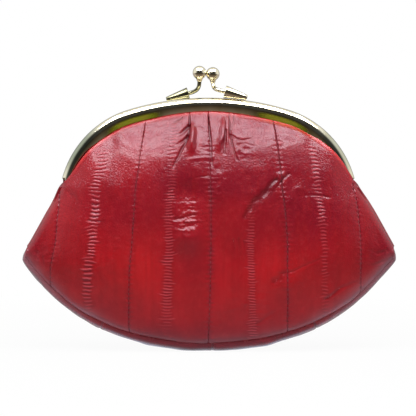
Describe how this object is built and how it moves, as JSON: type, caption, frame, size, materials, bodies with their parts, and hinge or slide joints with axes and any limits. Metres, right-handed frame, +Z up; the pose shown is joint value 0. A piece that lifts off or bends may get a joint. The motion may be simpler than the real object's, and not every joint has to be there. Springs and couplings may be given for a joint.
{
  "type": "clasp coin purse",
  "caption": "Small leather pouch pieced from strips, gathered into an arched metal frame whose two hinged halves lock with crossed ball knobs.",
  "frame": {"origin": "middle of the purse's base, on the surface that it stands on", "axes": "+X along the hinge line to the right as seen from the front, +Y from front to rear, +Z up"},
  "size_m": [0.141, 0.033, 0.1064],
  "materials": {
    "leather": "gloss",
    "lining_cloth": "matte",
    "gold_plate": "polished",
    "paper": "matte"
  },
  "bodies": {
    "bag": {"front_strip_left_end": "leather", "front_strip_left_outer": "leather", "front_strip_left_inner": "leather", "front_strip_right_inner": "leather", "front_strip_right_outer": "leather", "front_strip_right_end": "leather", "rear_strip_left_end": "leather", "rear_strip_left_outer": "leather", "rear_strip_left_inner": "leather", "rear_strip_right_inner": "leather", "rear_strip_right_outer": "leather", "rear_strip_right_end": "leather", "gusset_left_side": "leather", "gusset_left_base": "leather", "gusset_right_base": "leather", "gusset_right_side": "leather", "lining_front": "lining_cloth", "lining_rear": "lining_cloth", "lining_gusset": "lining_cloth", "hinge_rivet_left": "gold_plate", "hinge_rivet_right": "gold_plate"},
    "front_half": {"frame_front": "gold_plate", "paper_cord_front": "paper", "ferrule_front": "gold_plate", "knob_stem_front": "gold_plate", "knob_ball_front": "gold_plate"},
    "rear_half": {"frame_rear": "gold_plate", "paper_cord_rear": "paper", "ferrule_rear": "gold_plate", "knob_stem_rear": "gold_plate", "knob_ball_rear": "gold_plate"}
  },
  "joints": [
    {"name": "front_half_swing", "type": "hinge", "parent": "bag", "child": "front_half", "pos_m": [0, 0, 0.061], "axis": [1, 0, 0], "range_deg": [0, 45]},
    {"name": "rear_half_swing", "type": "hinge", "parent": "bag", "child": "rear_half", "pos_m": [0, 0, 0.061], "axis": [-1, 0, 0], "range_deg": [0, 45]}
  ],
  "couplings": [
    {"joint": "rear_half_swing", "follows": "front_half_swing", "ratio": 1}
  ]
}
